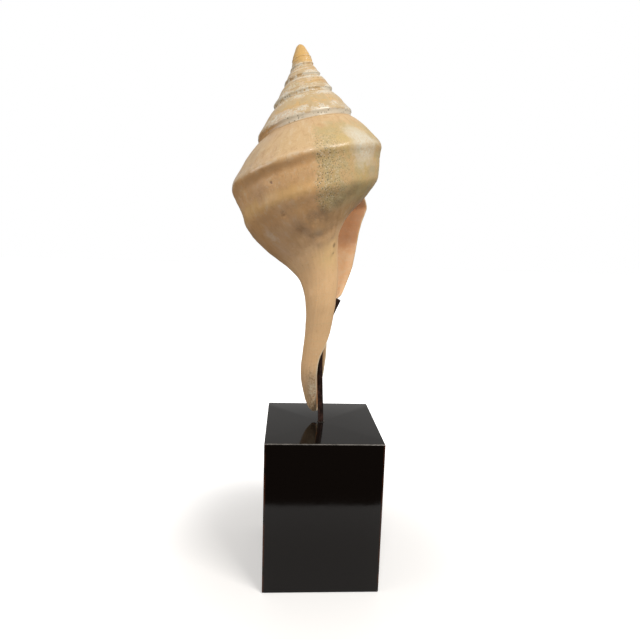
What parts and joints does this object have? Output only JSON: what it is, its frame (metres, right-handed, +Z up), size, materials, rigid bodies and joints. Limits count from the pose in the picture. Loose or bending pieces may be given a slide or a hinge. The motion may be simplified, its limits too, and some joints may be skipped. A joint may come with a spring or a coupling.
{
  "type": "sea snail shell on stand",
  "caption": "Tall spindle-shaped trumpet shell with a stepped spire, keeled whorls and a long open canal, held upright by a bent rod in a square lacquered block.",
  "frame": {"origin": "centre of the block's bottom face", "axes": "+Z up along the whole stand and shell, -Y out of the block's front face, +X towards the side that the shell's mouth opens to"},
  "size_m": [0.1515, 0.164, 0.5263],
  "materials": {
    "shell": "worn creamy peach shell, satin",
    "rod": "dark bronze patina, satin",
    "block": "black lacquer, high gloss"
  },
  "bodies": {
    "root": {"shell": "shell", "rod": "rod", "block": "block"}
  },
  "joints": []
}
